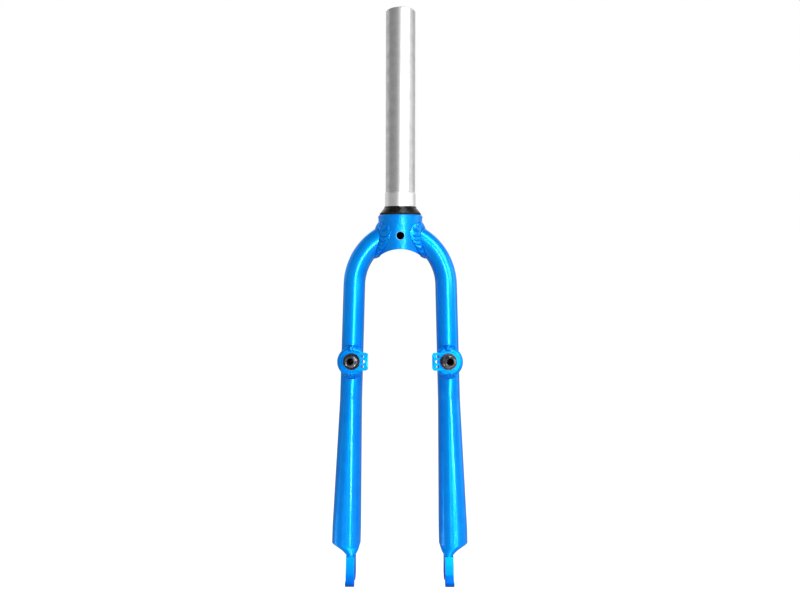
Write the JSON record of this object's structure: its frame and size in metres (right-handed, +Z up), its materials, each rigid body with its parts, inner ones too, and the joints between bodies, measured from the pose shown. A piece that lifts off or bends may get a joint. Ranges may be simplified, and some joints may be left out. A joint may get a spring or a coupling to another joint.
{
  "type": "balance bike fork",
  "caption": "Rigid child's bike fork with a threadless steerer, oval legs bent out of a short crown, rim brake posts and slotted dropouts.",
  "frame": {"origin": "on the steerer's axis, in the plane where the crown race sits on the crown", "axes": "+Z up along the steerer, -Y forward, +X to the bike's left"},
  "size_m": [0.111, 0.0683, 0.476],
  "materials": {
    "bare_aluminium": "bare, satin, lightly scuffed",
    "blue_paint": "gloss metallic paint over slightly uneven metal",
    "black_steel": "glossy black",
    "black_rubber": "matte",
    "stud_steel": "dark turned steel with a trace of rust at the flange"
  },
  "bodies": {
    "root": {"steerer_tube": "bare_aluminium", "crown_race": "black_steel", "crown_race_seal": "black_rubber", "crown_tube": "blue_paint", "left_leg": "blue_paint", "left_crown_weld": "blue_paint", "left_dropout": "blue_paint", "left_brake_boss": "blue_paint", "left_boss_weld_upper": "blue_paint", "left_boss_weld_lower": "blue_paint", "left_brake_stud": "stud_steel", "right_leg": "blue_paint", "right_crown_weld": "blue_paint", "right_dropout": "blue_paint", "right_brake_boss": "blue_paint", "right_boss_weld_upper": "blue_paint", "right_boss_weld_lower": "blue_paint", "right_brake_stud": "stud_steel"}
  },
  "joints": []
}
